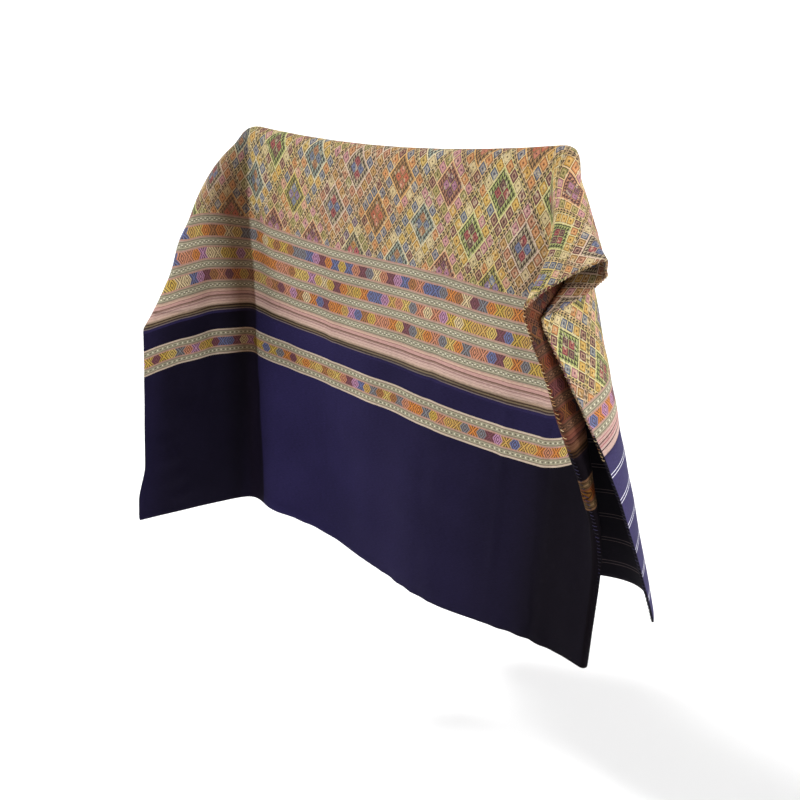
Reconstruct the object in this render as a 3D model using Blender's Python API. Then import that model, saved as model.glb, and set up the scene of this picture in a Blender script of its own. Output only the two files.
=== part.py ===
"""A woven tube skirt hung over a plain round rail.

Metres, +Z up. The rail runs along X with its middle at the origin, and the front is at -Y.
The skirt is a flat tube of two layers, so each of its three sewn pieces is one closed wall
that goes once round the tube. Every wall is lofted from one drape: the two halves hang from
the rail, and the cloth past each end of the rail falls from that end in folds, like a cone
whose rays keep their length.
"""

from collections import namedtuple
from math import cos, pi, radians, sin, tan

import bmesh
import bpy
import numpy as np
from mathutils import Matrix, Vector

# The flat tube, and where it lies on the rail
WIDTH = 0.681  # flat, from the fold on the left to the seam on the right
FRONT = 0.506  # from the ridge to the front hem, at the middle of the rail
BACK = 0.490  # from the ridge to the back hem
SKEW = radians(5.2)  # how far the cloth is turned on the rail
WALL = 0.0010  # one layer of cloth
BETWEEN = 0.0006  # air between the two layers
LIP = 0.0050  # how far each layer stands off the middle at the seam, down the front half
LIP_RUN = 0.050  # cloth over which the layers part towards the seam
LIP_FROM, LIP_BY = 0.15, 0.24  # run down the front over which that lip opens
SEAM_GAP = 0.0003  # between two sewn pieces

# The rail
RAIL = 0.410
RAIL_RADIUS = 0.0119
ROLL = 0.0145  # radius of the middle of the cloth over the rail
DIP = 0.012  # how far the rail bows down at its middle
RAIL_CUTS = 10
RAIL_SIDES = 20

# How the cloth hangs
BACK_LEAN = radians(5.0)  # the back half stands off plumb by this
SOFT = 0.040  # cloth past the rail's end over which it turns down
UNFOLDED = 0.02  # distance from the rail's end up to which the cloth has no folds

# The folds of each overhang, from the front half round to the back half.
# Columns: lean out along the rail, swing to the front (degrees)
LEFT_FOLDS = (
    (0.0, 0.0),  # front half, plumb
    (4.0, -1.7),  # crease below the rail's end
    (9.5, 21.3),  # flap that turns to the front
    (12.4, 32.7),  # outer fold
    (28.1, -56.8),  # corner of the ear behind
    (15.1, -54.8),
    (0.0, -5.0),  # back half
)
RIGHT_FOLDS = (
    (0.0, 0.0),  # front half, plumb
    (13.9, -0.1),  # roll beside the front half
    (4.3, 32.7),  # ridge that stands to the front
    (44.1, 35.0),  # corner of the ear
    (27.8, 14.5),  # tuck behind the ear
    (30.4, 9.4),
    (7.5, 31.9),  # inner edge of the back flap
    (11.5, 21.2),
    (18.1, 6.3),
    (12.6, -7.0),  # outer fold of the back flap
    (0.0, -5.0),  # back half
)
# Each overhang. Columns: direction along the rail, cloth past the rail's end, its folds,
# half the angle (degrees) that they are rounded over, the lean and swing (degrees) of the
# unfolded cloth near the rail's end, and how far from there the folds are fully formed
Side = namedtuple("Side", "sign over folds rounding lean swing formed")
SIDES = (
    Side(-1, 0.146, LEFT_FOLDS, 6.0, 57.0, 34.0, 0.24),
    Side(1, 0.125, RIGHT_FOLDS, 10.0, 24.4, 15.1, 0.192),
)
# Slow waves of the front half: place along the rail (0 left, 1 right), half-width, forward
WAVES = (
    (0.22, 0.20, -0.016),
    (0.68, 0.16, 0.012),
)

# The sewn pieces. Columns: name, lower and upper end along the cloth (down the front is
# positive), and the colour of its ground
Piece = namedtuple("Piece", "name low high colour")
PIECES = (
    Piece("foot_piece", 0.238, FRONT, (0.020, 0.017, 0.075)),
    Piece("brocade_piece", -0.298, 0.238, (0.45, 0.28, 0.10)),
    Piece("waist_piece", -BACK, -0.298, (0.045, 0.040, 0.160)),
)
WOOD = (0.36, 0.22, 0.11)

# The grid
ROW_PITCH = 0.0205  # on the brocade piece
HEM_PITCH = 0.023  # on the others
ROLL_ROWS = 8  # rows over the top of the rail
OVERHANG_PITCH = 0.0112
MAIN_COLUMNS = 7
HUG = 0.16  # cloth below the rail over which the rows turn from the rail's line to the weft
EDGE_STEPS = 4  # steps round the fold on the left and the lip of the seam

LEFT_END = SIDES[0].over  # where the rail's ends lie across the cloth
RIGHT_END = SIDES[0].over + RAIL
MIDDLE = LEFT_END + RAIL / 2


def smooth(x):
    x = np.clip(x, 0.0, 1.0)
    return x * x * (3 - 2 * x)


def box_blur(points, width):
    """A running mean that keeps both ends where they are."""
    lead = 2 * points[:1] - points[width:0:-1]
    tail = 2 * points[-1:] - points[-2 : -width - 2 : -1]
    wide = np.concatenate([lead, points, tail])
    kernel = np.ones(width) / width
    blurred = [np.convolve(wide[:, k], kernel, "same") for k in range(3)]
    return np.stack(blurred, -1)[width:-width]


def direction(side, lean, swing):
    flat = np.cos(lean)
    return np.stack([side.sign * np.sin(lean), -np.sin(swing) * flat, -np.cos(swing) * flat], -1)


def loose_ray(side, angle):
    swing = radians(side.swing) * np.sin(2 * angle) - BACK_LEAN * (1 - np.cos(angle)) / 2
    return direction(side, radians(side.lean) * np.sin(angle), swing)


def fan(side, samples=721):
    """Unit directions from the front plumb line, over the rail's end, to the back half."""
    corners = direction(side, *np.radians(np.array(side.folds)).T)
    turns = np.arccos(np.clip((corners[1:] * corners[:-1]).sum(-1), -1, 1))
    run = np.concatenate([[0.0], np.cumsum(turns)])
    along = np.linspace(0.0, run[-1], samples)
    index = np.clip(np.searchsorted(run, along, side="right") - 1, 0, len(turns) - 1)
    turn = turns[index]
    part = along - run[index]
    rays = corners[index] * (np.sin(turn - part) / np.sin(turn))[:, None]
    rays += corners[index + 1] * (np.sin(part) / np.sin(turn))[:, None]
    width = round(radians(side.rounding) / run[-1] * samples)
    for _ in range(2):
        rays = box_blur(rays, width)
    rays /= np.linalg.norm(rays, axis=1)[:, None]
    steps = np.linalg.norm(np.diff(rays, axis=0), axis=1)
    arc = np.concatenate([[0.0], np.cumsum(steps)])
    even = np.linspace(0.0, arc[-1], samples)
    return np.stack([np.interp(even, arc, rays[:, k]) for k in range(3)], -1)


def half_pipe(x, t):
    """The cloth on the rail and hanging from it, t being the run down the front."""
    quarter = ROLL * pi / 2
    turn = np.clip(t, -quarter, quarter) / ROLL
    front = np.clip(t - quarter, 0, None)
    back = np.clip(-t - quarter, 0, None)
    place = (x + RAIL / 2) / RAIL
    y = -ROLL * np.sin(turn) + sin(BACK_LEAN) * back
    for centre, half, forward in WAVES:
        swell = np.exp(-(((place - centre) / half) ** 2)) * smooth(place / 0.12)
        y = y - forward * swell * smooth((1 - place) / 0.12) * smooth((t - 0.06) / 0.40)
    z = ROLL * np.cos(turn) - front - cos(BACK_LEAN) * back
    z = z - DIP * np.clip(1 - (2 * x / RAIL) ** 2, 0, 1)
    return np.stack([x, y, z], -1)


FANS = [fan(side) for side in SIDES]


def drape(across, along):
    """The middle of the cloth: across from the left fold, along from the ridge down the front."""
    u = across - MIDDLE
    x = u * cos(SKEW) - along * sin(SKEW)
    t = u * sin(SKEW) + along * cos(SKEW)
    points = half_pipe(x, t)
    quarter = ROLL * pi / 2
    for side, rays in zip(SIDES, FANS):
        past = side.sign * x - RAIL / 2
        over = past > 0
        g, s = past[over], t[over]
        reach = np.hypot(g, s)
        angle = np.arctan2(g, s)
        place = angle / pi * (len(rays) - 1)
        first = np.clip(place.astype(int), 0, len(rays) - 2)
        share = (place - first)[:, None]
        ray = rays[first] * (1 - share) + rays[first + 1] * share
        tight = smooth((reach - UNFOLDED) / (side.formed - UNFOLDED))[:, None]
        ray = ray * tight + loose_ray(side, angle) * (1 - tight)
        ray /= np.linalg.norm(ray, axis=1)[:, None]
        start = np.stack(
            [np.full(len(g), side.sign * RAIL / 2), -ROLL * np.cos(angle), ROLL * np.sin(angle)],
            -1,
        )
        cone = start + (reach - quarter * np.cos(angle) ** 2)[:, None] * ray
        blend = smooth(reach / SOFT)[:, None]
        points[over] = points[over] * (1 - blend) + cone * blend
    return points


def outward(across, along, step=0.002):
    """Unit normals of the drape, facing out of the front and the back."""
    down = drape(across, along + step) - drape(across, along - step)
    side = drape(across + step, along) - drape(across - step, along)
    normal = np.cross(side, down)
    return -normal / np.linalg.norm(normal, axis=-1)[..., None]


def columns():
    """Places across the cloth: close together past the rail's ends, far apart between."""
    left = np.linspace(LIP, LEFT_END + 0.02, round(LEFT_END / OVERHANG_PITCH) + 1)
    right = np.linspace(
        RIGHT_END - 0.03, WIDTH - LIP, round((WIDTH - RIGHT_END + 0.03) / OVERHANG_PITCH) + 1
    )
    main = np.linspace(left[-1], right[0], MAIN_COLUMNS + 1)
    return np.concatenate([left[:-1], main, right[1:]])


def ring(lip):
    """The outer and inner lines of the wall once round the tube, its layers lip off at the seam.

    Each is a run of (across, off the middle of the cloth).
    """
    run = columns()
    rest = (BETWEEN + WALL) / 2
    off = rest + (lip - rest) * smooth((run - (WIDTH - LIP_RUN)) / LIP_RUN)
    turns = np.linspace(0, pi, EDGE_STEPS + 1)[1:-1]
    seam = np.stack([run[-1] + lip * np.sin(turns), lip * np.cos(turns)], -1)
    fold = np.stack([run[0] - rest * np.sin(turns), -rest * np.cos(turns)], -1)
    front = np.stack([run, off], -1)
    back = np.stack([run, -off], -1)[::-1]
    line = np.concatenate([front, seam, back, fold])
    along = np.roll(line, -1, 0) - np.roll(line, 1, 0)
    along /= np.linalg.norm(along, axis=1)[:, None]
    out = np.stack([-along[:, 1], along[:, 0]], -1) * WALL / 2
    return line + out, line - out


def rows(low, high, pitch):
    """Places along the cloth between two ends, closer over the top of the rail."""
    quarter = ROLL * pi / 2
    stops = [low] + [edge for edge in (-quarter, quarter) if low < edge < high] + [high]
    places = [low]
    for start, end in zip(stops, stops[1:]):
        on_rail = abs(start) <= quarter and abs(end) <= quarter
        count = ROLL_ROWS if on_rail else max(2, round((end - start) / pitch))
        places += list(np.linspace(start, end, count + 1)[1:])
    return np.array(places)


def material(name, colour, roughness):
    shade = bpy.data.materials.new(name)
    shade.use_nodes = True
    surface = shade.node_tree.nodes["Principled BSDF"]
    surface.inputs["Base Color"].default_value = (*colour, 1.0)
    surface.inputs["Roughness"].default_value = roughness
    return shade


def loft(grid_out, grid_in, split):
    """A closed wall from two tubes of points, rows first, joined at both ends.

    split says which way each four-sided cell is halved, the same on both faces.
    """
    mesh = bmesh.new()
    outer = [[mesh.verts.new(p) for p in row] for row in grid_out]
    inner = [[mesh.verts.new(p) for p in row] for row in grid_in]
    count, last = len(outer[0]), len(outer) - 1
    for i in range(last):
        for j in range(count):
            k = (j + 1) % count
            for grid, flip in ((outer, False), (inner, True)):
                a, b, c, d = grid[i][j], grid[i][k], grid[i + 1][k], grid[i + 1][j]
                halves = ((a, b, c), (a, c, d)) if split[i][j] else ((a, b, d), (b, c, d))
                for half in halves:
                    mesh.faces.new(half[::-1] if flip else half)
    for j in range(count):
        k = (j + 1) % count
        for i in (0, last):  # both ends are halved alike, so that sewn edges stay apart
            mesh.faces.new((outer[i][k], outer[i][j], inner[i][k]))
            mesh.faces.new((outer[i][j], inner[i][j], inner[i][k]))
    bmesh.ops.recalc_face_normals(mesh, faces=mesh.faces)
    return mesh


def add(collection, name, mesh, shade):
    data = bpy.data.meshes.new(name)
    mesh.to_mesh(data)
    mesh.free()
    data.materials.append(shade)
    obj = bpy.data.objects.new(name, data)
    collection.objects.link(obj)
    return obj


def sewn_piece(collection, piece):
    low = piece.low + (SEAM_GAP / 2 if piece.low > -BACK else 0.0)
    high = piece.high - (SEAM_GAP / 2 if piece.high < FRONT else 0.0)
    places = rows(low, high, ROW_PITCH if low * high < 0 else HEM_PITCH)
    grids = []
    for line, open_line in zip(ring((BETWEEN + WALL) / 2), ring(LIP)):
        parted = smooth((places - LIP_FROM) / (LIP_BY - LIP_FROM))[:, None]
        across = line[:, 0] * (1 - parted) + open_line[:, 0] * parted
        off = line[:, 1] * (1 - parted) + open_line[:, 1] * parted
        along = np.repeat(places[:, None], len(line), 1)
        # rows run along the rail where the cloth lies on it
        hug = 1 - smooth((np.abs(along) - ROLL * pi / 2) / HUG)
        along = along - (across - MIDDLE) * tan(SKEW) * hug
        grids.append(drape(across, along) + off[..., None] * outward(across, along))
    # cells are halved along the rays that leave the rail's nearer end
    right = line[:, 0] > MIDDLE
    down = (places[:-1] + places[1:]) / 2 > 0
    forth = np.roll(line[:, 0], -1) > line[:, 0]
    split = (down[:, None] == right[None, :]) == forth[None, :]
    mesh = loft(grids[0], grids[1], split)
    add(collection, piece.name, mesh, material(piece.name, piece.colour, 0.85))


def rail(collection):
    """A round rod along X, cut across so that it can bow, with flat ends."""
    mesh = bmesh.new()
    bmesh.ops.create_cone(
        mesh,
        cap_ends=True,
        segments=RAIL_SIDES,
        radius1=RAIL_RADIUS,
        radius2=RAIL_RADIUS,
        depth=RAIL,
        matrix=Matrix.Rotation(pi / 2, 4, "Y"),
    )
    for k in range(1, RAIL_CUTS):
        bmesh.ops.bisect_plane(
            mesh,
            geom=mesh.verts[:] + mesh.edges[:] + mesh.faces[:],
            plane_co=Vector((-RAIL / 2 + RAIL * k / RAIL_CUTS, 0, 0)),
            plane_no=Vector((1, 0, 0)),
        )
    for vert in mesh.verts:
        vert.co.z -= DIP * (1 - (2 * vert.co.x / RAIL) ** 2)
    add(collection, "rail", mesh, material("rail", WOOD, 0.6))


def main():
    for obj in list(bpy.data.objects):
        bpy.data.objects.remove(obj, do_unlink=True)
    collection = bpy.data.collections.new("tube_skirt_on_rail")
    bpy.context.scene.collection.children.link(collection)
    for piece in PIECES:
        sewn_piece(collection, piece)
    rail(collection)


main()
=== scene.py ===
from collections import namedtuple
from math import cos, pi, radians, sin

import bmesh
import bpy
import numpy as np
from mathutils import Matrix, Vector


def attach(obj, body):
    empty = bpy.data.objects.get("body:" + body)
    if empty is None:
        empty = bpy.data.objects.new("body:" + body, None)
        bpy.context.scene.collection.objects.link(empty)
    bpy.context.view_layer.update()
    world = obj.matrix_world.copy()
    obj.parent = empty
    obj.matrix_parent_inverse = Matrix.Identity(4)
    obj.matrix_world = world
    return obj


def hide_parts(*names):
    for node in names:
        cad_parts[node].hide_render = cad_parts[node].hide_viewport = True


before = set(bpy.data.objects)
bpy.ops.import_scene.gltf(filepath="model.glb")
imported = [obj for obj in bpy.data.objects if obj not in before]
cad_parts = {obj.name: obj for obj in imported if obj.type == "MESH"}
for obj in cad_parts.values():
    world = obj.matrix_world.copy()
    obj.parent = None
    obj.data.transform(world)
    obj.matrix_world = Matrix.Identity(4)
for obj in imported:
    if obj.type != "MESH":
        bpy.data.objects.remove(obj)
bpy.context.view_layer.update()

# ---------------------------------------------------------------------------------------------
# The rail: a plain turned bar of pale hardwood, held at its two ends, that bows a little under the
# skirt. It is wholly under the cloth, and shows only from below and from its ends.


def dye(red, green, blue):
    """A thread colour as the eye reads it, 0 to 255, made linear."""
    return tuple((part / 255) ** 2.2 for part in (red, green, blue))


def new_material(name, roughness):
    made = bpy.data.materials.new(name)
    made.use_nodes = True
    shader = made.node_tree.nodes["Principled BSDF"]
    shader.inputs["Roughness"].default_value = roughness
    return made, made.node_tree, shader


def colour_ramp(tree, place, stops, change="LINEAR"):
    """A colour for each number from 0 to 1. Stops are pairs (place, linear colour)."""
    ramp = tree.nodes.new("ShaderNodeValToRGB")
    ramp.color_ramp.interpolation = change
    while len(ramp.color_ramp.elements) < len(stops):
        ramp.color_ramp.elements.new(0.5)
    for stop, (position, colour) in zip(ramp.color_ramp.elements, stops):
        stop.position = position
        stop.color = (*colour, 1)
    tree.links.new(place, ramp.inputs["Fac"])
    return ramp.outputs["Color"]


def stretched(tree, place, scale):
    """A place on the surface, drawn out more one way than another."""
    mapping = tree.nodes.new("ShaderNodeMapping")
    mapping.inputs["Scale"].default_value = scale
    tree.links.new(place, mapping.inputs["Vector"])
    return mapping.outputs["Vector"]


def noise(tree, place, scale, detail=2):
    """An uneven number over a surface, read at a place on it."""
    uneven = tree.nodes.new("ShaderNodeTexNoise")
    uneven.inputs["Scale"].default_value = scale
    uneven.inputs["Detail"].default_value = detail
    tree.links.new(place, uneven.inputs["Vector"])
    return uneven.outputs["Fac"]


def raised(tree, shader, height, strength, depth):
    """Gives a material a low relief that follows height."""
    bump = tree.nodes.new("ShaderNodeBump")
    bump.inputs["Strength"].default_value = strength
    bump.inputs["Distance"].default_value = depth
    tree.links.new(height, bump.inputs["Height"])
    tree.links.new(bump.outputs["Normal"], shader.inputs["Normal"])


wood, tree, shader = new_material("rail_wood", 0.5)
place = tree.nodes.new("ShaderNodeTexCoord").outputs["Object"]
grain = noise(tree, stretched(tree, place, (3, 70, 70)), 3.0, detail=5)
tones = ((0.0, dye(112, 76, 44)), (1.0, dye(186, 142, 92)))
tree.links.new(colour_ramp(tree, grain, tones), shader.inputs["Base Color"])
raised(tree, shader, grain, 0.25, 0.0004)
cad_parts["rail"].data.materials.clear()
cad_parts["rail"].data.materials.append(wood)

# ---------------------------------------------------------------------------------------------
# The brocade piece: the patterned length that lies over the rail. It is handwoven of silk and cotton
# in one with its striped and banded ends, with the figures as extra weft. It goes once round the
# tube and is whip-stitched up one side.
RAIL = 0.410  # length of the rail
ROLL = 0.0145  # radius of the middle of the cloth over the rail
DIP = 0.012  # how far the rail bows down at its middle
WIDTH = 0.681  # flat tube, from the fold on the left to the seam on the right
FRONT = 0.506  # from the ridge to the front hem, at the middle of the rail
BACK = 0.490  # from the ridge to the back hem
FRONT_SEAM = 0.238  # where the foot piece is sewn on
BACK_SEAM = -0.298  # where the waist piece is sewn on
SEAM_GAP = 0.0003  # between two sewn pieces
SKEW = radians(5.2)  # how far the cloth is turned on the rail
WALL = 0.0010  # a layer with its air, and the outer face of that wall is the cloth's face
CLOTH = 0.0007  # the cloth itself
BETWEEN = 0.0006  # between the walls of the two layers
LIP = 0.0050  # how far each layer stands off the middle at the seam, down the front half
LIP_RUN = 0.050  # the two layers part over this much of the width
LIP_FROM, LIP_BY = 0.15, 0.24  # and over this run down the front
TURN_STEPS = 7  # faces round the left fold and round the seam
BACK_LEAN = radians(5.0)  # how far the back half hangs out of plumb
SOFT = 0.040  # run from a rail end over which the fan of folds takes over
UNFOLDED = 0.02  # nearer to a rail end the cloth has no folds yet
# Folds of each overhang, front half round to back half: (lean out, swing forward) in degrees.
LEFT_FOLDS = (
    (0.0, 0.0),  # front half, plumb
    (4.0, -1.7),  # crease below the rail's end
    (9.5, 21.3),  # flap that turns to the front
    (12.4, 32.7),  # outer fold
    (28.1, -56.8),  # corner of the ear behind
    (15.1, -54.8),
    (0.0, -5.0),  # back half
)
RIGHT_FOLDS = (
    (0.0, 0.0),  # front half, plumb
    (13.9, -0.1),  # roll beside the front half
    (4.3, 32.7),  # ridge that stands to the front
    (44.1, 35.0),  # corner of the ear
    (27.8, 14.5),  # tuck behind the ear
    (30.4, 9.4),
    (7.5, 31.9),  # inner edge of the back flap
    (11.5, 21.2),
    (18.1, 6.3),
    (12.6, -7.0),  # outer fold of the back flap
    (0.0, -5.0),  # back half
)
# Each overhang: its side, how far the cloth reaches over, its folds, the angle that its corners
# are rounded over, the lean and swing of its unfolded cloth, and where the folds are full.
Side = namedtuple("Side", "sign over folds rounding lean swing formed")
SIDES = (
    Side(-1, 0.146, LEFT_FOLDS, 6.0, 57.0, 34.0, 0.24),
    Side(1, 0.125, RIGHT_FOLDS, 10.0, 24.4, 15.1, 0.192),
)
# Slow waves of the front half: place along the rail and half-width, as shares of it, and forward.
WAVES = ((0.22, 0.20, -0.016), (0.68, 0.16, 0.012))
WAVE_ENDS = 0.12  # they die out over this share of the rail at each end
WAVE_FROM, WAVE_RUN = 0.06, 0.40  # and grow over this run down the front
LEFT_END = SIDES[0].over
RIGHT_END = LEFT_END + RAIL
MIDDLE = LEFT_END + RAIL / 2

# Soft creases. Columns: across and along where each starts, and where it ends, its width, and
# how far it stands out (negative is a trough).
Crease = namedtuple("Crease", "across0 along0 across1 along1 width height")
CREASES = (
    # the front half: sharp lines down it from when it lay folded away
    Crease(0.284, 0.05, 0.292, 0.50, 0.006, 0.0013),
    Crease(0.440, 0.06, 0.450, 0.50, 0.006, -0.0012),
    Crease(0.536, 0.10, 0.546, 0.50, 0.006, 0.0012),
    Crease(0.596, 0.16, 0.606, 0.50, 0.007, -0.0012),
    # and softer swells between them
    Crease(0.232, 0.10, 0.238, 0.50, 0.016, 0.0014),
    Crease(0.352, 0.24, 0.348, 0.50, 0.016, 0.0014),
    Crease(0.388, 0.12, 0.380, 0.44, 0.022, -0.0014),
    Crease(0.490, 0.28, 0.496, 0.50, 0.018, -0.0014),
    Crease(0.640, 0.30, 0.650, 0.50, 0.014, 0.0016),
    # drag lines from the rail's ends
    Crease(0.150, 0.03, 0.200, 0.17, 0.012, 0.0024),
    Crease(0.156, 0.06, 0.178, 0.26, 0.014, -0.0024),
    Crease(0.545, 0.02, 0.510, 0.14, 0.014, 0.0018),
    Crease(0.575, 0.03, 0.560, 0.16, 0.012, -0.0022),
    # the left flap
    Crease(0.050, 0.10, 0.070, 0.33, 0.018, 0.0022),
    Crease(0.096, 0.08, 0.104, 0.36, 0.014, -0.0026),
    Crease(0.020, 0.30, 0.110, 0.37, 0.020, -0.0016),
    Crease(0.030, 0.40, 0.060, 0.50, 0.016, 0.0026),
    # slack across the front, below the bands
    Crease(0.200, 0.335, 0.420, 0.352, 0.030, 0.0012),
    Crease(0.330, 0.430, 0.560, 0.400, 0.034, -0.0014),
    # the hem, which rolls a little here and there
    Crease(0.160, 0.500, 0.300, 0.505, 0.010, 0.0020),
    Crease(0.380, 0.504, 0.480, 0.504, 0.010, -0.0020),
    Crease(0.540, 0.500, 0.640, 0.505, 0.012, 0.0022),
    # the back half, on both sides of the middle
    Crease(0.284, -0.05, 0.290, -0.48, 0.006, 0.0013),
    Crease(0.440, -0.06, 0.444, -0.48, 0.006, -0.0013),
    Crease(0.536, -0.08, 0.540, -0.46, 0.006, 0.0012),
    Crease(0.230, -0.06, 0.224, -0.44, 0.014, 0.0018),
    Crease(0.262, -0.12, 0.270, -0.47, 0.020, -0.0018),
    Crease(0.360, -0.10, 0.352, -0.36, 0.016, 0.0016),
    Crease(0.400, -0.20, 0.408, -0.48, 0.018, -0.0018),
    Crease(0.480, -0.05, 0.474, -0.40, 0.015, 0.0017),
    Crease(0.250, -0.36, 0.500, -0.33, 0.030, -0.0014),
)


def smooth(x):
    x = np.clip(x, 0.0, 1.0)
    return x * x * (3 - 2 * x)


def box_blur(points, width):
    """A running mean that keeps both ends where they are."""
    lead = 2 * points[:1] - points[width:0:-1]
    tail = 2 * points[-1:] - points[-2 : -width - 2 : -1]
    wide = np.concatenate([lead, points, tail])
    kernel = np.ones(width) / width
    blurred = [np.convolve(wide[:, k], kernel, "same") for k in range(3)]
    return np.stack(blurred, -1)[width:-width]


def direction(side, lean, swing):
    flat = np.cos(lean)
    return np.stack([side.sign * np.sin(lean), -np.sin(swing) * flat, -np.cos(swing) * flat], -1)


def loose_ray(side, angle):
    swing = radians(side.swing) * np.sin(2 * angle) - BACK_LEAN * (1 - np.cos(angle)) / 2
    return direction(side, radians(side.lean) * np.sin(angle), swing)


def fan(side):
    """Unit directions from the front plumb line, over the rail's end, to the back half."""
    samples = 721
    corners = direction(side, *np.radians(np.array(side.folds)).T)
    turns = np.arccos(np.clip((corners[1:] * corners[:-1]).sum(-1), -1, 1))
    run = np.concatenate([[0.0], np.cumsum(turns)])
    along = np.linspace(0.0, run[-1], samples)
    index = np.clip(np.searchsorted(run, along, side="right") - 1, 0, len(turns) - 1)
    turn = turns[index]
    part = along - run[index]
    rays = corners[index] * (np.sin(turn - part) / np.sin(turn))[:, None]
    rays += corners[index + 1] * (np.sin(part) / np.sin(turn))[:, None]
    width = round(radians(side.rounding) / run[-1] * samples)
    for _ in range(2):
        rays = box_blur(rays, width)
    rays /= np.linalg.norm(rays, axis=1)[:, None]
    steps = np.linalg.norm(np.diff(rays, axis=0), axis=1)
    arc = np.concatenate([[0.0], np.cumsum(steps)])
    even = np.linspace(0.0, arc[-1], samples)
    return np.stack([np.interp(even, arc, rays[:, k]) for k in range(3)], -1)


def half_pipe(x, t):
    """The cloth on the rail and hanging from it, t being the run down the front."""
    quarter = ROLL * pi / 2
    turn = np.clip(t, -quarter, quarter) / ROLL
    front = np.clip(t - quarter, 0, None)
    back = np.clip(-t - quarter, 0, None)
    place = (x + RAIL / 2) / RAIL
    y = -ROLL * np.sin(turn) + sin(BACK_LEAN) * back
    for centre, half, forward in WAVES:
        swell = np.exp(-(((place - centre) / half) ** 2)) * smooth(place / WAVE_ENDS)
        swell = swell * smooth((1 - place) / WAVE_ENDS)
        y = y - forward * swell * smooth((t - WAVE_FROM) / WAVE_RUN)
    z = ROLL * np.cos(turn) - front - cos(BACK_LEAN) * back
    z = z - DIP * np.clip(1 - (2 * x / RAIL) ** 2, 0, 1)
    return np.stack([x, y, z], -1)


FANS = [fan(side) for side in SIDES]


def drape(across, along):
    """The middle of the cloth: across from the left fold, along from the ridge down the front."""
    u = across - MIDDLE
    x = u * cos(SKEW) - along * sin(SKEW)
    t = u * sin(SKEW) + along * cos(SKEW)
    points = half_pipe(x, t)
    quarter = ROLL * pi / 2
    for side, rays in zip(SIDES, FANS):
        past = side.sign * x - RAIL / 2
        over = past > 0
        g, s = past[over], t[over]
        reach = np.hypot(g, s)
        angle = np.arctan2(g, s)
        place = angle / pi * (len(rays) - 1)
        first = np.clip(place.astype(int), 0, len(rays) - 2)
        share = (place - first)[:, None]
        ray = rays[first] * (1 - share) + rays[first + 1] * share
        tight = smooth((reach - UNFOLDED) / (side.formed - UNFOLDED))[:, None]
        ray = ray * tight + loose_ray(side, angle) * (1 - tight)
        ray /= np.linalg.norm(ray, axis=1)[:, None]
        start = np.stack(
            [np.full(len(g), side.sign * RAIL / 2), -ROLL * np.cos(angle), ROLL * np.sin(angle)],
            -1,
        )
        cone = start + (reach - quarter * np.cos(angle) ** 2)[:, None] * ray
        blend = smooth(reach / SOFT)[:, None]
        points[over] = points[over] * (1 - blend) + cone * blend
    return points


def creased(across, along):
    """How far the cloth stands off its plain drape in its creases and its slack."""
    beyond, painted_lighting = 0.15, 0.4  # shares of a crease's length: how far it runs on, and dies out over
    slack = 0.0006
    flat_top, settled = 0.02, 0.06  # the cloth is drawn flat over the rail
    height = np.zeros_like(across)
    for crease in CREASES:
        start = np.array([crease.across0, crease.along0])
        run = np.array([crease.across1, crease.along1]) - start
        part = ((across - start[0]) * run[0] + (along - start[1]) * run[1]) / (run @ run)
        near = np.clip(part, 0, 1)
        gap = np.hypot(across - start[0] - near * run[0], along - start[1] - near * run[1])
        wander = 1 + 0.35 * np.sin(23 * part + 40 * crease.across0)
        ends = smooth((part + beyond) / painted_lighting) * smooth((1 + beyond - part) / painted_lighting)
        height += crease.height * wander * ends * np.exp(-((gap / crease.width) ** 2))
    # the slack all over, which leaves no thread quite straight
    ripple = np.sin(61 * across + 9 * np.sin(11 * along)) * np.sin(37 * along + 5 * across)
    height += slack * ripple
    return height * smooth((np.abs(along) - flat_top) / settled)


def outward(across, along):
    """Unit normals of the drape, facing out of the front and the back."""
    step = 0.002
    down = drape(across, along + step) - drape(across, along - step)
    side = drape(across + step, along) - drape(across - step, along)
    normal = np.cross(side, down)
    return -normal / np.linalg.norm(normal, axis=-1)[..., None]


def ring(lip, run):
    """The face of the cloth once round the tube from the seam: across, off the middle, girth."""
    rest = (BETWEEN + WALL) / 2
    off = rest + (lip - rest) * smooth((run - (WIDTH - LIP_RUN)) / LIP_RUN)
    turns = np.linspace(0, pi, TURN_STEPS + 1)[1:-1]
    front = np.stack([run, off], -1)[::-1]
    fold = np.stack([run[0] - rest * np.sin(turns), rest * np.cos(turns)], -1)
    back = np.stack([run, -off], -1)
    seam = np.stack([run[-1] + lip * np.sin(turns), -lip * np.cos(turns)], -1)
    line = np.concatenate([front, fold, back, seam, front[:1]])
    along = np.roll(line, -1, 0) - np.roll(line, 1, 0)
    along[0] = along[-1] = line[1] - line[-2]
    along /= np.linalg.norm(along, axis=1)[:, None]
    return line + np.stack([along[:, 1], -along[:, 0]], -1) * WALL / 2


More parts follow.
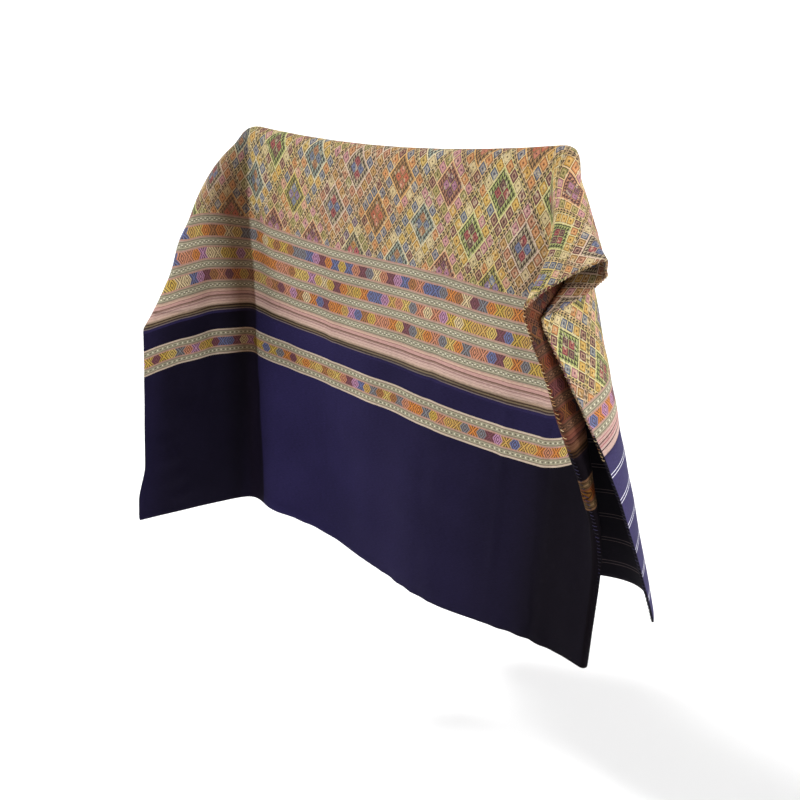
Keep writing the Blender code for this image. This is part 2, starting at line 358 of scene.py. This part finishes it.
def pattern_place(line, along):
    """Where each point lies on the flat pattern: its weave sags, and runs up towards the seam."""
    sag_at = (0.00, 0.02, 0.05, 0.09, 0.20, 0.25, 0.30, 0.35, 0.40, 0.45, 0.50, 0.55, 0.60, 0.69)
    sag = (23.0, 18.0, 12.0, 8.0, 8.0, 6.5, 5.0, 2.0, 0.0, 1.5, 6.0, 9.5, 11.0, 12.0)
    sagged = 0.10  # the run down the front by which the sag is full
    rise_at = (-1.0, 0.02, 0.13, 0.25, 0.306, 0.506)
    rise = (0.0, 0.0, 55.0, 42.0, 36.0, 0.0)
    rise_from = 0.585  # across the width, and full at the seam
    rear_rise = 0.45  # the share of that rise in the back half
    rear_slip = 0.024  # how much further up the back half lies at the seam than at the left fold
    first_back = int(np.argmin(line[:, 0]))
    rear = np.arange(len(line)) > first_back
    across = line[:, 0]
    pattern_u = np.where(rear, -across, across)
    arc = np.cumsum(np.linalg.norm(np.diff(line, axis=0, prepend=line[:1]), axis=1))
    last = rear & (across >= WIDTH - LIP - 1e-6)
    pattern_u = np.where(last, pattern_u.min() - (arc - arc[last][0]), pattern_u)
    drop = np.interp(across, sag_at, sag) / 1000
    slip = np.where(rear, rear_slip * np.clip(across / WIDTH, 0, 1), 0.0)
    near_seam = smooth((across - rise_from) / (WIDTH - rise_from))
    near_seam = np.where(rear, rear_rise, 1.0) * near_seam
    lift = np.interp(along, rise_at, rise) / 1000 * near_seam[None, :]
    v = along - drop[None, :] * smooth(along / sagged) - slip[None, :] + lift
    return np.broadcast_to(pattern_u, v.shape), v


def as_object(name, mesh):
    """The finished bmesh as an object of the scene, smoothly shaded."""
    data = bpy.data.meshes.new(name)
    mesh.to_mesh(data)
    mesh.free()
    data.shade_smooth()
    made = bpy.data.objects.new(name, data)
    bpy.context.scene.collection.objects.link(made)
    return made


def hang(name, low, high):
    """A length of tube cloth from a flat grid, hung, welded up its seam and given its thickness."""
    row_pitch = 0.0042
    # finer columns over the overhangs and a little way in over the rail
    left = np.linspace(LIP, LEFT_END + 0.03, 48)
    right = np.linspace(RIGHT_END - 0.04, WIDTH - LIP, 47)
    main = np.linspace(left[-1], right[0], 52)
    run = np.concatenate([left[:-1], main, right[1:]])
    plain, open_line = ring((BETWEEN + WALL) / 2, run), ring(LIP, run)
    columns, rows = len(plain) - 1, round((high - low) / row_pitch)
    mesh = bmesh.new()
    bmesh.ops.create_grid(mesh, x_segments=columns, y_segments=rows, size=0.5)
    corners = np.array([vert.co for vert in mesh.verts])
    column = np.rint((corners[:, 0] + 0.5) * columns).astype(int)
    row = np.rint((corners[:, 1] + 0.5) * rows).astype(int)
    places = np.linspace(low, high, rows + 1)[:, None]
    parted = smooth((places - LIP_FROM) / (LIP_BY - LIP_FROM))
    across = plain[:, 0] * (1 - parted) + open_line[:, 0] * parted
    off = plain[:, 1] * (1 - parted) + open_line[:, 1] * parted
    along = np.broadcast_to(places, across.shape).copy()
    # the left fold flares a little above the front hem
    flare_out, flare_wide = 0.009, 0.06
    flare = flare_out * smooth((along - 0.43) / 0.05) * smooth((0.53 - along) / 0.03)
    across = across - flare * smooth((flare_wide - across) / flare_wide)
    facing = outward(across, along)
    points = drape(across, along) + (off + creased(across, along))[..., None] * facing
    flat_u, flat_v = pattern_place(plain, along)
    layer = mesh.loops.layers.uv.new("flat")
    for vert, i, j in zip(mesh.verts, row, column):
        vert.co = points[i, j]
        for loop in vert.link_loops:
            loop[layer].uv = (flat_u[i, j], flat_v[i, j])
    bmesh.ops.remove_doubles(mesh, verts=mesh.verts, dist=0.00002)
    bmesh.ops.recalc_face_normals(mesh, faces=mesh.faces)
    made = as_object(name, mesh)
    wall = made.modifiers.new("thickness", "SOLIDIFY")
    wall.thickness = CLOTH
    wall.offset = -1
    return made


def feed(socket, value):
    """Links a Draft or another socket into a socket, or sets it to a plain value."""
    if isinstance(value, Draft):
        value = value.socket
    if isinstance(value, bpy.types.NodeSocket):
        Draft.tree.links.new(value, socket)
    else:
        socket.default_value = value


class Draft:
    """A number at each point of the cloth, worked out by Math nodes as a weaver's draft is."""

    tree = None

    def __init__(self, socket):
        self.socket = socket

    @classmethod
    def step(cls, operation, *values):
        node = cls.tree.nodes.new("ShaderNodeMath")
        node.operation = operation
        for socket, value in zip(node.inputs, values):
            feed(socket, value)
        return Draft(node.outputs[0])

    def __add__(self, other):
        return Draft.step("ADD", self, other)

    def __sub__(self, other):
        return Draft.step("SUBTRACT", self, other)

    def __rsub__(self, other):
        return Draft.step("SUBTRACT", other, self)

    def __mul__(self, other):
        return Draft.step("MULTIPLY", self, other)

    def __truediv__(self, other):
        return Draft.step("DIVIDE", self, other)

    def __abs__(self):
        return Draft.step("ABSOLUTE", self)

    def __lt__(self, other):
        return Draft.step("LESS_THAN", self, other)

    def __gt__(self, other):
        return Draft.step("GREATER_THAN", self, other)

    def floor(self):
        return Draft.step("FLOOR", self)

    def part(self):
        return Draft.step("FRACT", self)

    def least(self, other):
        return Draft.step("MINIMUM", self, other)

    def most(self, other):
        return Draft.step("MAXIMUM", self, other)

    def between(self, low, high):
        """1 from low to high, 0 outside."""
        middle, half = (low + high) / 2, (high - low) / 2
        return Draft.step("COMPARE", self, middle, half)


def chance(*place):
    """A random number that belongs to one figure of the pattern."""
    join = Draft.tree.nodes.new("ShaderNodeCombineXYZ")
    for socket, value in zip(join.inputs, place):
        feed(socket, value)
    draw = Draft.tree.nodes.new("ShaderNodeTexWhiteNoise")
    Draft.tree.links.new(join.outputs[0], draw.inputs["Vector"])
    return Draft(draw.outputs["Value"])


def shade_card(pick, colours):
    """One of several thread colours, picked by a number from 0 to 1."""
    stops = [(k / len(colours), dye(*colour)) for k, colour in enumerate(colours)]
    return colour_ramp(Draft.tree, pick.socket, stops, "CONSTANT")


def stripes(place, run, edges):
    """Weft stripes: run is the length they cover, edges pairs (start of a stripe, its colour)."""
    stops = [(start / run, dye(*colour)) for start, colour in edges]
    return colour_ramp(Draft.tree, (place / run).socket, stops, "CONSTANT")


def over(under, top, cover):
    """top laid over under where cover is 1. Either is a colour socket or a colour."""
    node = Draft.tree.nodes.new("ShaderNodeMix")
    node.data_type = "RGBA"
    for socket, value in ((node.inputs[6], under), (node.inputs[7], top)):
        feed(socket, (*dye(*value), 1) if isinstance(value, tuple) else value)
    feed(node.inputs[0], cover)
    return node.outputs[2]


def shaded(colour, factor):
    """colour made lighter or darker by factor, a number or a Draft."""
    node = Draft.tree.nodes.new("ShaderNodeVectorMath")
    node.operation = "SCALE"
    feed(node.inputs[0], colour)
    feed(node.inputs["Scale"], factor)
    return node.outputs[0]


def tinted(colour, tint):
    """colour with its red, green and blue each cut down to a share."""
    node = Draft.tree.nodes.new("ShaderNodeVectorMath")
    node.operation = "MULTIPLY"
    feed(node.inputs[0], colour)
    node.inputs[1].default_value = tint
    return node.outputs[0]


def on_flat(material_tree):
    """The flat cloth's UV map and its two measures in millimetres.

    Across it counts from the left fold, below 0 on the rear layer. Along it counts from the ridge,
    below 0 down the back.
    """
    Draft.tree = material_tree
    flat = material_tree.nodes.new("ShaderNodeUVMap")
    flat.uv_map = "flat"
    split = material_tree.nodes.new("ShaderNodeSeparateXYZ")
    material_tree.links.new(flat.outputs["UV"], split.inputs[0])
    across, along = Draft(split.outputs["X"]) * 1000.0, Draft(split.outputs["Y"]) * 1000.0
    return flat.outputs["UV"], across, along


def figure_square(s, r, fill, line, dot):
    """A woven square: light edge, its fill, a paler ring and a dark middle, s and r from -.5."""
    middle_end, ring_from, ring_end, fill_end, edge_end = 0.08, 0.17, 0.26, 0.38, 0.44
    d = abs(s).most(abs(r))
    colour = over(line, dot, d < edge_end)
    colour = over(colour, fill, d < fill_end)
    colour = over(colour, over(fill, line, 0.5), d.between(ring_from, ring_end))
    return over(colour, dot, d < middle_end)


# Thread colours of the seven kinds of diamond, part by part.
PALE_LINES = (
    (190, 176, 142), (184, 176, 118), (196, 152, 108), (190, 142, 82),
    (188, 164, 92), (194, 166, 150), (184, 168, 126),
)
GLINTS = (
    (140, 150, 136), (150, 156, 92), (160, 112, 86), (158, 120, 76),
    (154, 144, 78), (164, 150, 120), (150, 138, 100),
)
DARKS = (
    (52, 46, 42), (54, 50, 34), (72, 42, 42), (70, 52, 38),
    (56, 48, 36), (62, 46, 38), (48, 44, 48),
)
FIRST_PAIR = (
    (86, 98, 122), (134, 34, 58), (150, 100, 126), (168, 84, 62),
    (116, 98, 136), (80, 98, 132), (160, 60, 78),
)
SECOND_PAIR = (
    (146, 94, 60), (88, 44, 56), (96, 56, 78), (172, 104, 84),
    (94, 108, 134), (140, 50, 56), (168, 112, 54),
)
EVEN_SQUARES = (
    (84, 94, 116), (104, 54, 62), (166, 110, 122), (176, 112, 62),
    (80, 92, 114), (150, 108, 46), (96, 76, 104),
)
ODD_SQUARES = (
    (170, 138, 56), (178, 136, 50), (126, 118, 62), (88, 96, 114),
    (184, 130, 114), (150, 92, 66), (186, 134, 50),
)
LOOSE_SQUARES = (
    (176, 132, 54), (172, 108, 60), (164, 106, 116), (120, 114, 62),
    (186, 166, 122), (82, 94, 116), (104, 56, 60),
)


def diamonds(u, v):
    """The diamond ground: cells with four squares, framed by squares, parted by saw teeth."""
    centre_u, centre_v = 349.0, 77.0  # the middle of one diamond, in millimetres
    wide, long = 62.5, 88.0  # its width and its length
    cell = 7.0  # steps of the lattice to a diamond, which runs from -3.5 to 3.5 both ways
    # where each part ends or starts, in those steps from the diamond's middle
    squares_end, triangles_end, outline_end = 1.12, 1.77, 1.92
    teeth_from, border_from = 3.2, 3.45
    x, y = (u - centre_u) / wide, (v - centre_v) / long
    p, q = (x + y) * cell, (x - y) * cell
    i, j = (p / cell + 0.5).floor(), (q / cell + 0.5).floor()
    hp, hq = p - i * cell, q - j * cell
    a, b = abs(hp), abs(hq)
    m = a.most(b)
    by_p = a > b
    run = hq * by_p + hp * (1.0 - by_p)
    kind = chance(i, j, 3.0)
    line, glint, dark, first, second, even, odd = [
        shade_card(kind, threads)
        for threads in (
            PALE_LINES,
            GLINTS,
            DARKS,
            FIRST_PAIR,
            SECOND_PAIR,
            EVEN_SQUARES,
            ODD_SQUARES,
        )
    ]
    # the frame: sixteen squares round the cell, some of them in a thread of their own
    frame_square, own_thread = 1.28, 0.55
    across, along = hp / frame_square + 0.5, hq / frame_square + 0.5
    s, r = across.part() - 0.5, along.part() - 0.5
    is_odd = Draft.step("FLOORED_MODULO", across.floor() + along.floor(), 2.0) > 0.5
    fill = over(even, odd, is_odd)
    pick = chance(i * cell + across.floor(), j * cell + along.floor(), 2.0)
    other = chance(j * cell + along.floor(), i * cell + across.floor(), 6.0)
    fill = over(fill, shade_card(other, LOOSE_SQUARES), pick > own_thread)
    colour = figure_square(s, r, fill, over((208, 186, 140), line, 0.4), (74, 56, 42))
    # saw teeth between two frames
    tooth, tooth_foot, tooth_height = 0.64, 3.08, 0.44
    pale = over(over((178, 154, 108), line, 0.45), odd, 0.3)
    in_tooth = (run / tooth).part() < (m - tooth_foot) / tooth_height
    teeth = over(pale, over(dark, (60, 48, 34), 0.5), in_tooth)
    border = over(pale, dark, 0.15)
    colour = over(colour, over(teeth, border, m > border_from), m > teeth_from)
    # the cell: its outline, a ring of small triangles, four squares in the middle
    triangle = 0.53
    slope = (hp / triangle).part() + (hq / triangle).part()
    inside = over(dark, glint, slope < 0.92)
    mixed = (hp > 0.0) + (hq > 0.0)
    centre = over(first, second, mixed.between(0.6, 1.4))
    half = squares_end / 2
    square = ((a - half) / squares_end, (b - half) / squares_end)
    centre = figure_square(*square, centre, shaded(line, 0.6), (54, 40, 42))
    inside = over(inside, centre, m < squares_end)
    inside = over(inside, line, m > triangles_end)
    colour = over(colour, inside, m < outline_end)
    # single ends of weft that show through between the figures, dark ones and pale ones
    end_wide, end_long, offset = 2.1, 3.3, 1.3
    warp = (u / end_wide).floor()
    end = chance(warp, ((v + warp * offset) / end_long).floor(), 1.0)
    colour = over(colour, shaded(colour, 0.42), (end > 0.91) * 0.6)
    colour = over(colour, (204, 190, 156), (end < 0.08) * 0.4)
    # the grey of dust and age over it all
    return over(colour, (142, 138, 130), 0.06)


FIGURE_THREADS = (
    (198, 122, 52),
    (192, 160, 68),
    (82, 100, 146),
    (108, 58, 76),
    (206, 186, 142),
    (172, 124, 160),
    (156, 104, 60),
    (190, 152, 80),
    (190, 126, 96),
    (108, 114, 122),
    (200, 172, 92),
)


def motif_band(u, r, number):
    """A band of crosses and nested hexagons, r from its centre line, with the dotted guards."""
    pitch = 20.6  # from one hexagon to the next
    figures_end, line_end = 6.1, 6.8  # half the row of figures, and its edge line
    depth = abs(r)
    place = (u + chance(number, 7.0, 1.0) * pitch) / pitch
    x = abs(place.part() - 0.5) * pitch  # from the middle of a hexagon
    to_cross = pitch / 2 - x
    cross = shade_card(chance((place + 0.5).floor(), number, 2.0), FIGURE_THREADS)
    nest = shade_card(chance(place.floor(), number, 5.0), FIGURE_THREADS)
    # nested hexagons, with sloping ends
    nest_slope, nest_end, ring_pitch = 0.55, 6.5, 2.6
    reach = x + depth * nest_slope
    in_nest = reach < nest_end
    thread = over(cross, nest, in_nest)
    ground = over(shaded(thread, 0.28), (74, 46, 42), 0.55)
    rings = ((reach / ring_pitch).part() < 0.54) * in_nest
    # crosses between them: a slanting arm, a second line outside it and an upright
    arm = to_cross - depth * 0.66
    arms = (abs(arm) < 0.9) + arm.between(2.3, 3.3) + (to_cross < 0.55) * (arm < -1.9)
    figure = over(ground, thread, rings + arms * (1.0 - in_nest))
    # the guards: grey-green, a row of pale dots and dark ticks, thin pink edges
    guard_middle, dot_pitch, dot_shift = 12.3, 3.15, 3.1
    gap = abs(depth - guard_middle)
    speck = (u + number * dot_shift) / dot_pitch
    beat = Draft.step("FLOORED_MODULO", speck.floor(), 2.0)
    on_dot = abs(speck.part() - 0.5)
    dots = (on_dot < 0.22) * (beat < 0.5) * (gap < 0.9)
    ticks = (on_dot < 0.16) * (beat > 0.5) * (gap < 1.3)
    guard = over((150, 134, 116), (132, 128, 108), gap < 3.7)
    guard = over(guard, (104, 92, 80), gap.between(3.0, 3.7))
    guard = over(guard, (164, 156, 130), gap.between(1.6, 2.2))
    guard = over(guard, (90, 80, 72), ticks)
    guard = over(guard, (216, 208, 184), dots)
    guard = over(guard, (166, 120, 110), gap.between(4.8, 5.6))
    colour = over(guard, over(figure, (132, 112, 94), 0.14), depth < figures_end)
    return over(colour, (164, 128, 112), depth.between(figures_end, line_end))


LAMPS = 0.86  # how much of a thread colour is dye, under lamps as bright as these


def woven(tree, shader, flat, colour, u, v, inner_shade_tint, edges=(), relief=0.00022):
    """Gives a colour its threads: uneven dye along each weft, the relief of the weave and seams, and
    painted shade inside the tube and in the left fold.
    """
    slub = Draft(noise(tree, stretched(tree, flat, (260, 1500, 1)), 0.9))
    wear = Draft(noise(tree, flat, 14, detail=3))
    uneven = (slub - 0.5) * 0.9 + (wear - 0.5) * 0.4
    # painted shade: the inner layer (across below 0) is tinted dark and warm, standing in for the shadow
    # inside the tube, least so over and behind the rail
    inner_shade_share = 1.0 - v.between(-300.0, 70.0) * 0.62
    colour = over(colour, tinted(colour, inner_shade_tint), (u < 0.0) * inner_shade_share)
    # painted shade: the long fold below the rail's left end is darkened and browned up to its sharp
    # edge, standing in for the shadow in the crease
    fold_at, fold_slant = 139.0, 0.09  # its edge: how far across it is at the ridge, and its slant
    wide, lead = 38.0, 1.6  # it grows over this width, from this many widths before the edge
    edge_wide = 4.0  # and ends over this one
    down = 140.0  # it grows down the front, too
    from_edge = u - v * fold_slant - fold_at
    fold_shade = (from_edge / wide + lead).least(1.0 - from_edge / edge_wide).most(0.0).least(1.0)
    fold_shade = fold_shade * (v / down + 0.25).least(1.0)
    fold_shade = (fold_shade * (u > 0.0)).most(0.0) * 0.9
    colour = over(colour, tinted(colour, (0.28, 0.19, 0.13)), fold_shade)
    tree.links.new(shaded(colour, uneven + LAMPS), shader.inputs["Base Color"])
    # turned hems stand out twice as far as a thread does
    height = slub
    for edge, reach in edges:
        height = height + v.between(edge - reach, edge + reach) * 2.0
    raised(tree, shader, height.socket, 0.6, relief)


NAVY = (42, 37, 66)
# Weft stripes of the front end: where each starts, in millimetres from the last guard on
FRONT_STRIPES = (
    (0.0, (184, 154, 136)),
    (2.3, (142, 104, 98)),
    (3.2, (176, 138, 130)),
    (6.2, (106, 80, 70)),
    (7.6, (140, 110, 100)),
    (8.9, (172, 144, 134)),
    (10.2, (140, 108, 102)),
    (11.2, (172, 142, 132)),
    (12.6, (190, 162, 150)),
    (13.6, (164, 136, 124)),
    (14.6, (182, 154, 140)),
    (17.0, (150, 128, 110)),
    (18.6, (120, 102, 84)),
    (19.4, (64, 52, 44)),
    (21.0, (110, 96, 76)),
    (22.4, (58, 48, 46)),
    (24.2, (106, 94, 92)),
    (25.4, NAVY),
)
FRONT_STRIPES_FROM, FRONT_STRIPES_RUN = 211.2, 26.0
# Weft stripes of the back end, from its last guard on
BACK_STRIPES = (
    (0.0, (178, 150, 140)),
    (1.6, (158, 104, 106)),
    (2.6, (176, 146, 136)),
    (5.0, (84, 54, 54)),
    (6.2, (168, 136, 128)),
    (8.0, (152, 94, 98)),
    (9.2, (178, 150, 142)),
    (11.6, (62, 44, 44)),
    (12.8, (178, 150, 140)),
    (17.6, (160, 134, 130)),
    (18.6, NAVY),
)
BACK_STRIPES_FROM, BACK_STRIPES_RUN = -279.4, 19.0
NARROW_MIDDLE, NARROW_SCALE = 277.3, 1.15  # the narrow band, and how much finer it is woven
NARROW_HALF = 18.6  # half its width, in the figures' own measure


def front_stripes(v):
    return stripes(v - FRONT_STRIPES_FROM, FRONT_STRIPES_RUN, FRONT_STRIPES)


def back_stripes(v):
    return stripes(BACK_STRIPES_FROM - v, BACK_STRIPES_RUN, BACK_STRIPES)


def narrow_band(u, v):
    """The one narrow band that lies in the plain navy: pale lines, guards and small figures."""
    r = (v - NARROW_MIDDLE) * NARROW_SCALE
    band = motif_band(u, r, 14.0)
    band = over(band, (182, 164, 146), abs(r).between(16.4, NARROW_HALF))
    return over(NAVY, band, abs(r) < NARROW_HALF)


brocade_cloth, tree, shader = new_material("brocade_cloth", 0.82)
shader.inputs["Specular IOR Level"].default_value = 0.2
flat, u, v = on_flat(tree)
colour = diamonds(u, v)
# bands of the front end: three rows of figures between four guards, stripes, and the narrow band
front_from, front_line = 124.0, (123.2, 124.2)
row_start, row_wide = 129.8, 25.3
front_turn = (v - row_start) / row_wide
front_r = (front_turn.part() - 0.5) * row_wide
colour = over(colour, motif_band(u, front_r, front_turn.floor() + 1.0), v > front_from)
colour = over(colour, (160, 122, 112), v.between(*front_line))
colour = over(colour, front_stripes(v), v > FRONT_STRIPES_FROM)
narrow_from = 258.0
colour = over(colour, narrow_band(u, v), v > narrow_from)
# bands of the back end: one row of figures between two guards, and fewer stripes
back_from, back_middle = -243.6, -262.0
colour = over(colour, motif_band(u, v - back_middle, 9.0), v < back_from)
colour = over(colour, back_stripes(v), v < BACK_STRIPES_FROM)
# the last colour shares tint the inner layer as painted shade
woven(tree, shader, flat, colour, u, v, inner_shade_tint=(0.26, 0.12, 0.075))

brocade = hang("brocade", BACK_SEAM + SEAM_GAP / 2, FRONT_SEAM - SEAM_GAP / 2)
brocade.data.materials.append(brocade_cloth)
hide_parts("brocade_piece")
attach(brocade, "root")

# ---------------------------------------------------------------------------------------------
# The foot piece: plain dark navy cotton with one narrow patterned band near its top. It is sewn to
# the striped end of the brocade and finished with a narrow turned hem.
foot_cloth, tree, shader = new_material("foot_cloth", 0.88)
shader.inputs["Specular IOR Level"].default_value = 0.06
flat, u, v = on_flat(tree)
# painted light and shade: the navy is paler down the middle of the front, as if lit with a sheen, and
# near black on the left flap and to the right, as if shaded: pairs (place on the front, how pale it is)
painted_lighting_stops = (
    (0.0, 0.4),
    (0.50, 0.32),
    (0.53, 0.13),
    (0.597, 0.10),
    (0.622, 0.62),
    (0.645, 0.76),
    (0.70, 0.66),
    (0.786, 0.42),
    (0.843, 0.31),
    (0.893, 0.18),
    (0.94, 0.02),
)
painted_lighting_run = 1400.0  # millimetres from 0 to 1, with the left fold at the middle
amounts = [(position, (amount,) * 3) for position, amount in painted_lighting_stops]
painted_lighting = Draft(colour_ramp(tree, (u / painted_lighting_run + 0.5).socket, amounts, "EASE"))
# and the strip above the narrow band is paler to the right
painted_lighting = painted_lighting.most((v < 262.0) * (u > 300.0) * 0.45)
# painted shade and light: near-black navy where shaded, paler blue where lit
plain = over((18, 15, 20), (48, 43, 80), painted_lighting)
stripes_until = 240.0
in_band = abs((v - NARROW_MIDDLE) * NARROW_SCALE) < NARROW_HALF
colour = over(front_stripes(v), over(plain, narrow_band(u, v), in_band), v > stripes_until)
hems = ((502.0, 6.0), (495.4, 0.5))  # the turned edge and its row of stitches
# the last colour shares tint the inner layer as painted shade
woven(tree, shader, flat, colour, u, v, (0.22, 0.14, 0.09), edges=hems, relief=0.00018)
foot = hang("foot", FRONT_SEAM + SEAM_GAP / 2, FRONT)
foot.data.materials.append(foot_cloth)
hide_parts("foot_piece")
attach(foot, "root")

# ---------------------------------------------------------------------------------------------
# The waist piece: navy cotton with pairs of thin white weft lines, sewn to the other end of the
# brocade and turned in at its edge. It hangs behind, and shows at the right and inside.
waist_cloth, tree, shader = new_material("waist_cloth", 0.86)
shader.inputs["Specular IOR Level"].default_value = 0.12
flat, u, v = on_flat(tree)
pair_pitch, pair_at, pair_apart, line_half = 28.5, 320.0, 1.7, 0.42
pairs_from, pairs_end = -305.0, 677.0  # from the stripes on, and up to the seam
turn = ((v + pair_at) / pair_pitch + 0.5).part() * pair_pitch - pair_pitch / 2
pair = abs(abs(turn) - pair_apart) < line_half
pair = pair * (v < pairs_from) * (abs(u) < pairs_end)
colour = over((56, 51, 84), (206, 204, 214), pair)
colour = over(colour, back_stripes(v), v > BACK_SEAM * 1000)
hems = ((-485.0, 6.0), (-478.0, 0.5))
# the last colour shares tint the inner layer as painted shade
woven(tree, shader, flat, colour, u, v, (0.10, 0.075, 0.07), edges=hems, relief=0.00018)
waist = hang("waist", -BACK, BACK_SEAM - SEAM_GAP / 2)
waist.data.materials.append(waist_cloth)
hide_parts("waist_piece")
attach(waist, "root")

# ---------------------------------------------------------------------------------------------
# The side seam: both selvedges lie edge to edge and are whipped together with doubled cotton,
# pale over the brocade and dark over the navy, in one row of slanting stitches.
THREAD = 0.00036  # radius of the doubled thread
STITCH_PITCH = 0.0044
STITCH_HALF, STITCH_SLANT = 0.0019, 0.0013  # half its length over the seam, and its lean along it
AROUND, LONG = 5, 8  # faces round a stitch and along it
INSIDE = WIDTH - 0.012  # a line inside the tube that the stitches stand away from


def across_seam(reach, along):
    """Points of the cloth's face at each reach, to the rear (+) or the front of the seam's middle."""
    run = np.linspace(WIDTH - 0.02, WIDTH - LIP, 7)
    lines = [ring((BETWEEN + WALL) / 2, run), ring(LIP, run)]
    parted = smooth((along - LIP_FROM) / (LIP_BY - LIP_FROM))
    line = lines[0] * (1 - parted) + lines[1] * parted
    # the rear face, the turn and the front face, in that order
    line = np.concatenate([line[len(run) + TURN_STEPS - 1 :], line[1 : len(run)]])
    arc = np.cumsum(np.linalg.norm(np.diff(line, axis=0, prepend=line[:1]), axis=1))
    middle = arc[np.argmax(line[:, 0])]
    return [np.interp(middle - reach, arc, line[:, k]) for k in range(2)]


stitches = bmesh.new()
tag = stitches.loops.layers.uv.new("number")
steps = np.linspace(-1, 1, LONG + 1)
thick = THREAD * np.sqrt(1 - steps**8)
hem_clear, ridge_clear = 0.004, 0.006  # no stitch so near to a hem or to the ridge
for number, start in enumerate(np.arange(-BACK + hem_clear, FRONT - hem_clear, STITCH_PITCH)):
    if abs(start) < ridge_clear:
        continue
    # no two are quite the same size or the same distance apart
    uneven = 1 + 0.18 * sin(7.1 * number) + 0.1 * sin(2.3 * number)
    along = start + steps * STITCH_SLANT + 0.0005 * sin(5.7 * number)
    across, off = across_seam(steps * STITCH_HALF * uneven, start)
    facing = outward(across, along)
    path = drape(across, along) + off[:, None] * facing
    away = path - drape(np.full(LONG + 1, INSIDE), along)
    away /= np.linalg.norm(away, axis=1)[:, None]
    # it lies on the cloth and dives in at both ends
    path += away * (THREAD * (1.2 - 1.6 * steps**6))[:, None]
    beside = np.cross(np.gradient(path, axis=0), away)
    beside /= np.linalg.norm(beside, axis=1)[:, None]
    grid = bmesh.ops.create_grid(stitches, x_segments=AROUND, y_segments=LONG, size=0.5)
    for vert in grid["verts"]:
        turn = 2 * pi * (vert.co.x + 0.5)
        j = round((vert.co.y + 0.5) * LONG)
        vert.co = path[j] + thick[j] * (away[j] * cos(turn) + beside[j] * sin(turn))
        for loop in vert.link_loops:
            loop[tag].uv = (number, start * 1000)
bmesh.ops.remove_doubles(stitches, verts=stitches.verts, dist=0.000002)
bmesh.ops.recalc_face_normals(stitches, faces=stitches.faces)
seam = as_object("seam_stitches", stitches)
thread, tree, shader = new_material("seam_thread", 0.7)
shader.inputs["Specular IOR Level"].default_value = 0.2
Draft.tree = tree
counted = tree.nodes.new("ShaderNodeUVMap")
counted.uv_map = "number"
parts = tree.nodes.new("ShaderNodeSeparateXYZ")
tree.links.new(counted.outputs["UV"], parts.inputs[0])
number, place = Draft(parts.outputs["X"]), Draft(parts.outputs["Y"])
cottons = ((176, 150, 108), (196, 176, 136), (92, 58, 40), (150, 112, 70), (64, 46, 38), (186, 160, 120))
indigos = ((30, 25, 38), (40, 36, 62), (24, 20, 30))
cotton = shade_card(chance(number, 1.0, 2.0), cottons)
indigo = shade_card(chance(number, 4.0, 2.0), indigos)
past_seam = 4.0  # the pale thread runs on a little over both seams
on_foot = place > FRONT_SEAM * 1000 + past_seam
on_waist = place < BACK_SEAM * 1000 - past_seam
tree.links.new(over(cotton, indigo, on_foot + on_waist), shader.inputs["Base Color"])
spot = tree.nodes.new("ShaderNodeTexCoord").outputs["Object"]
raised(tree, shader, noise(tree, spot, 2500), 0.5, 0.0001)
seam.data.materials.append(thread)
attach(seam, "root")

# ---------------------------------------------------------------------------------------------
# The studio: a pale floor well below the hem, a lit white screen all round it far off, a soft key
# light from the left, a second light from the right and behind, and the camera.
FLOOR_DOWN = 0.75
FLOOR_RADIUS = 14
ground = bmesh.new()
bmesh.ops.create_circle(ground, cap_ends=True, segments=64, radius=FLOOR_RADIUS)
bmesh.ops.translate(ground, verts=ground.verts, vec=(0, 0, -FLOOR_DOWN))
floor = as_object("floor", ground)
paper, tree, shader = new_material("floor_paper", 0.9)
shader.inputs["Base Color"].default_value = (0.90, 0.90, 0.90, 1)
shader.inputs["Specular IOR Level"].default_value = 0.0
floor.data.materials.append(paper)

SCREEN_RADIUS = FLOOR_RADIUS - 0.1
SCREEN_HEIGHT = 5
SCREEN_MIDDLE = 1.7  # above the rail
around = bmesh.new()
bmesh.ops.create_cone(
    around,
    cap_ends=False,
    segments=64,
    radius1=SCREEN_RADIUS,
    radius2=SCREEN_RADIUS,
    depth=SCREEN_HEIGHT,
)
bmesh.ops.reverse_faces(around, faces=around.faces)
bmesh.ops.translate(around, verts=around.verts, vec=(0, 0, SCREEN_MIDDLE))
screen = as_object("screen", around)
lit, tree, shader = new_material("screen_paper", 0.9)
shader.inputs["Base Color"].default_value = (0.4, 0.4, 0.4, 1)
shader.inputs["Emission Color"].default_value = (1, 1, 1, 1)
shader.inputs["Emission Strength"].default_value = 1.0
screen.data.materials.append(lit)
screen.visible_shadow = False

# Directions and widths are in degrees, azimuth from the front towards the right.
Lamp = namedtuple("Lamp", "name azimuth elevation energy angle")
for lamp in (
    Lamp("key", -60.0, 48.0, 3.2, 14.0),
    Lamp("side", 112.0, 34.0, 3.4, 16.0),
):
    light = bpy.data.lights.new(lamp.name, "SUN")
    light.energy = lamp.energy
    light.angle = radians(lamp.angle)
    bulb = bpy.data.objects.new(lamp.name, light)
    turn, height = radians(lamp.azimuth), radians(lamp.elevation)
    towards = Vector((sin(turn) * cos(height), -cos(turn) * cos(height), sin(height)))
    bulb.rotation_euler = towards.to_track_quat("Z", "Y").to_euler()
    bpy.context.scene.collection.objects.link(bulb)

world = bpy.data.worlds.new("studio")
world.use_nodes = True
world.node_tree.nodes["Background"].inputs["Color"].default_value = (1, 1, 1, 1)
world.node_tree.nodes["Background"].inputs["Strength"].default_value = 0.22
bpy.context.scene.world = world
bpy.context.scene.view_settings.view_transform = "Standard"

# the camera stands in front and to the right, a little above the rail, and looks down 19 degrees
view = bpy.data.cameras.new("camera")
view.sensor_width = 36
view.lens = 45
view.clip_end = 200
camera = bpy.data.objects.new("camera", view)
camera.location = (0.695, -0.831, 0.094)
camera.rotation_euler = (radians(71), 0, radians(39.5))
bpy.context.scene.collection.objects.link(camera)
bpy.context.scene.camera = camera
